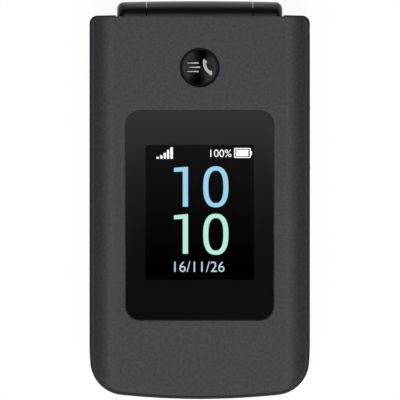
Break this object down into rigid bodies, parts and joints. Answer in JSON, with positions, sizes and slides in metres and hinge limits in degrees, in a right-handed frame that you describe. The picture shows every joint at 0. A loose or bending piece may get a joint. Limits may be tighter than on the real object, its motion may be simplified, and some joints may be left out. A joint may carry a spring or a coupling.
{
  "type": "flip phone",
  "caption": "Closed flip phone with a flat metal-grey lid, outer display, round key above it, hinge barrel across the top, keypad inside and a lift-off battery cover.",
  "frame": {"origin": "centre of the footprint, on the surface the closed phone lies on with its back down", "axes": "+Z out of the lid's face, +Y towards the hinge barrel, +X to the right as the lid is seen from above"},
  "size_m": [0.0577, 0.104, 0.0195],
  "materials": {
    "lid_paint": "fine matte metallic paint",
    "dark_plastic": "satin moulded",
    "gloss_black": "polished",
    "turned_black": "turned in fine rings and anodised black",
    "black_glass": "polished",
    "display_black": "bonded display, polished",
    "key_plastic": "satin moulded",
    "ring_metal": "satin metallic paint",
    "rubber": "matt moulded",
    "steel": "stamped and plated",
    "contact_gold": "plated",
    "board": "solder mask",
    "battery_wrap": "printed film, bare of print",
    "flex_film": "flexible printed circuit film"
  },
  "bodies": {
    "base": {"base_front_housing": "dark_plastic", "base_rear_housing": "dark_plastic", "battery": "battery_wrap", "main_circuit_board": "board", "shield_cans": "steel", "keypad_web": "rubber", "dome_sheet": "steel", "usb_port": "steel", "headphone_jack": "gloss_black", "loudspeaker": "rubber", "microphone": "steel", "camera_module": "gloss_black", "camera_lens": "black_glass", "vibration_motor": "steel", "sim_holder": "steel", "battery_contacts": "contact_gold", "base_screws": "steel", "hinge_cam_shaft": "steel", "hinge_bush": "contact_gold", "hinge_end_caps": "gloss_black", "antenna": "battery_wrap"},
    "lid": {"lid_front_cover": "lid_paint", "lid_inner_frame": "dark_plastic", "outer_lens": "black_glass", "outer_display": "display_black", "inner_lens": "black_glass", "main_display": "display_black", "lid_stiffener_plate": "steel", "lid_circuit_board": "board", "ear_speaker": "steel", "hot_key_switch": "steel", "lid_screws": "steel", "lid_bumpers": "rubber", "hinge_case": "gloss_black", "hinge_spring": "steel", "hinge_cam_follower": "steel", "hinge_flex": "flex_film"},
    "round_key": {"hot_key": "turned_black"},
    "key_1_body": {"key_1": "key_plastic"},
    "key_2_body": {"key_2": "key_plastic"},
    "key_3_body": {"key_3": "key_plastic"},
    "key_4_body": {"key_4": "key_plastic"},
    "key_5_body": {"key_5": "key_plastic"},
    "key_6_body": {"key_6": "key_plastic"},
    "key_7_body": {"key_7": "key_plastic"},
    "key_8_body": {"key_8": "key_plastic"},
    "key_9_body": {"key_9": "key_plastic"},
    "key_star_body": {"key_star": "key_plastic"},
    "key_0_body": {"key_0": "key_plastic"},
    "key_hash_body": {"key_hash": "key_plastic"},
    "soft_left_body": {"soft_left": "key_plastic"},
    "soft_right_body": {"soft_right": "key_plastic"},
    "call_key_body": {"call_key": "key_plastic"},
    "end_key_body": {"end_key": "key_plastic"},
    "clear_key_body": {"clear_key": "key_plastic"},
    "ok_key_body": {"ok_key": "ring_metal"},
    "nav_carrier": {"nav_pads": "rubber"},
    "nav_ring_body": {"nav_ring": "ring_metal"},
    "volume_rocker": {"volume_key": "dark_plastic"},
    "back_panel": {"battery_cover": "lid_paint"}
  },
  "joints": [
    {"name": "lid_hinge", "type": "hinge", "parent": "base", "child": "lid", "pos_m": [0, 0.047, 0.011], "axis": [-1, 0, 0], "range_deg": [0, 160]},
    {"name": "round_key_press", "type": "slide", "parent": "lid", "child": "round_key", "axis": [0, 0, -1], "range_m": [0, 0.0003], "stiffness_N_per_m": 2000},
    {"name": "key_1_press", "type": "slide", "parent": "base", "child": "key_1_body", "axis": [0, 0, -1], "range_m": [0, 0.0003], "stiffness_N_per_m": 2000},
    {"name": "key_2_press", "type": "slide", "parent": "base", "child": "key_2_body", "axis": [0, 0, -1], "range_m": [0, 0.0003], "stiffness_N_per_m": 2000},
    {"name": "key_3_press", "type": "slide", "parent": "base", "child": "key_3_body", "axis": [0, 0, -1], "range_m": [0, 0.0003], "stiffness_N_per_m": 2000},
    {"name": "key_4_press", "type": "slide", "parent": "base", "child": "key_4_body", "axis": [0, 0, -1], "range_m": [0, 0.0003], "stiffness_N_per_m": 2000},
    {"name": "key_5_press", "type": "slide", "parent": "base", "child": "key_5_body", "axis": [0, 0, -1], "range_m": [0, 0.0003], "stiffness_N_per_m": 2000},
    {"name": "key_6_press", "type": "slide", "parent": "base", "child": "key_6_body", "axis": [0, 0, -1], "range_m": [0, 0.0003], "stiffness_N_per_m": 2000},
    {"name": "key_7_press", "type": "slide", "parent": "base", "child": "key_7_body", "axis": [0, 0, -1], "range_m": [0, 0.0003], "stiffness_N_per_m": 2000},
    {"name": "key_8_press", "type": "slide", "parent": "base", "child": "key_8_body", "axis": [0, 0, -1], "range_m": [0, 0.0003], "stiffness_N_per_m": 2000},
    {"name": "key_9_press", "type": "slide", "parent": "base", "child": "key_9_body", "axis": [0, 0, -1], "range_m": [0, 0.0003], "stiffness_N_per_m": 2000},
    {"name": "key_star_press", "type": "slide", "parent": "base", "child": "key_star_body", "axis": [0, 0, -1], "range_m": [0, 0.0003], "stiffness_N_per_m": 2000},
    {"name": "key_0_press", "type": "slide", "parent": "base", "child": "key_0_body", "axis": [0, 0, -1], "range_m": [0, 0.0003], "stiffness_N_per_m": 2000},
    {"name": "key_hash_press", "type": "slide", "parent": "base", "child": "key_hash_body", "axis": [0, 0, -1], "range_m": [0, 0.0003], "stiffness_N_per_m": 2000},
    {"name": "soft_left_press", "type": "slide", "parent": "base", "child": "soft_left_body", "axis": [0, 0, -1], "range_m": [0, 0.0003], "stiffness_N_per_m": 2000},
    {"name": "soft_right_press", "type": "slide", "parent": "base", "child": "soft_right_body", "axis": [0, 0, -1], "range_m": [0, 0.0003], "stiffness_N_per_m": 2000},
    {"name": "call_key_press", "type": "slide", "parent": "base", "child": "call_key_body", "axis": [0, 0, -1], "range_m": [0, 0.0003], "stiffness_N_per_m": 2000},
    {"name": "end_key_press", "type": "slide", "parent": "base", "child": "end_key_body", "axis": [0, 0, -1], "range_m": [0, 0.0003], "stiffness_N_per_m": 2000},
    {"name": "clear_key_press", "type": "slide", "parent": "base", "child": "clear_key_body", "axis": [0, 0, -1], "range_m": [0, 0.0003], "stiffness_N_per_m": 2000},
    {"name": "ok_key_press", "type": "slide", "parent": "base", "child": "ok_key_body", "axis": [0, 0, -1], "range_m": [0, 0.0003], "stiffness_N_per_m": 2000},
    {"name": "nav_up_down", "type": "hinge", "parent": "base", "child": "nav_carrier", "pos_m": [0, 0.015, 0.0092], "axis": [1, 0, 0], "range_deg": [-1.2, 1.2], "stiffness_Nm_per_rad": 1},
    {"name": "nav_left_right", "type": "hinge", "parent": "nav_carrier", "child": "nav_ring_body", "pos_m": [0, 0.015, 0.0092], "axis": [0, 1, 0], "range_deg": [-1.2, 1.2], "stiffness_Nm_per_rad": 1},
    {"name": "volume_rock", "type": "hinge", "parent": "base", "child": "volume_rocker", "pos_m": [0.027, 0.01635, 0.006], "axis": [0, 0, 1], "range_deg": [-1.5, 1.5], "stiffness_Nm_per_rad": 0.8},
    {"name": "battery_cover_lift", "type": "slide", "parent": "base", "child": "back_panel", "axis": [0, 0, -1], "range_m": [0, 0.025]}
  ]
}
